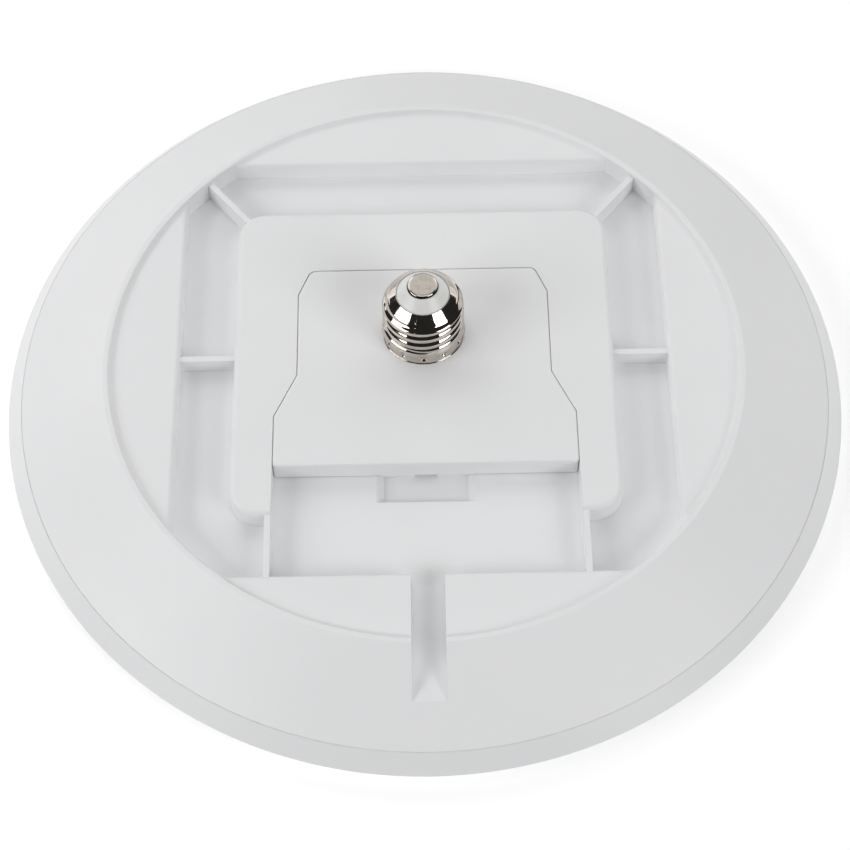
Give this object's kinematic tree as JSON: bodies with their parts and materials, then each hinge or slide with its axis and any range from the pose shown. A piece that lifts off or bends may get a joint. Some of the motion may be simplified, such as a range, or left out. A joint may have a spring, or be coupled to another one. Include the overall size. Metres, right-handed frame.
{
  "type": "led ceiling light",
  "caption": "Round flush ceiling light with a milky front and a slide-on adapter that screws into a lampholder.",
  "frame": {"origin": "centre of the flat front face that the light lies on", "axes": "+Z from the front face towards the screw base; -Y towards the side with the tool groove; +X to the right seen from the back with -Y down"},
  "size_m": [0.2748, 0.2748, 0.0516],
  "materials": {
    "white_housing": "fine spark-eroded satin",
    "white_adapter": "fine spark-eroded satin",
    "opal_front": "smooth satin milk-white",
    "nickel_shell": "bright nickel plate",
    "tinned_contact": "dull tin, slightly worn",
    "insulator": "smooth",
    "brass": "plain",
    "steel_screws": "zinc plated",
    "white_board": "white solder mask",
    "phosphor": "yellow phosphor",
    "clear_lens": "clear",
    "white_cover": "satin",
    "green_board": "solder mask",
    "capacitor_sleeve": "shrink sleeve",
    "ferrite": "sintered",
    "black_mould": "moulded",
    "resistor_body": "painted",
    "yellow_case": "moulded",
    "blue_coating": "dipped",
    "nylon": "moulded",
    "red_wire": "sleeve",
    "black_wire": "sleeve"
  },
  "bodies": {
    "light_body": {"back_housing": "white_housing", "front_diffuser": "opal_front", "led_board": "white_board", "led_chips": "phosphor", "led_lenses": "clear_lens", "board_screws": "steel_screws", "driver_cover": "white_cover", "cover_screws": "steel_screws", "driver_board": "green_board", "driver_screws": "steel_screws", "input_capacitor": "capacitor_sleeve", "output_capacitor": "capacitor_sleeve", "power_inductor": "ferrite", "bridge_rectifier": "black_mould", "driver_chip": "black_mould", "fuse_resistor": "resistor_body", "film_capacitor": "yellow_case", "surge_varistor": "blue_coating", "input_connector": "nylon", "output_connector": "nylon", "contact_block": "nylon", "contact_clips": "brass", "block_screws": "steel_screws", "supply_wires": "red_wire", "led_wires": "black_wire"},
    "adapter": {"adapter_plate": "white_adapter", "adapter_cover": "white_adapter", "screw_shell": "nickel_shell", "base_insulator": "insulator", "centre_contact": "tinned_contact", "adapter_screws": "steel_screws", "contact_blades": "brass", "live_wire": "red_wire", "neutral_wire": "black_wire"},
    "latch": {"latch_tongue": "white_adapter"}
  },
  "joints": [
    {"name": "adapter_slide", "type": "slide", "parent": "light_body", "child": "adapter", "axis": [0, -1, 0], "range_m": [0, 0.036], "deforming": ["latch_tongue"]},
    {"name": "latch_lift", "type": "hinge", "parent": "adapter", "child": "latch", "pos_m": [0, -0.014, 0.02005], "axis": [-1, 0, 0], "range_deg": [0, 6.5], "stiffness_Nm_per_rad": 1}
  ]
}
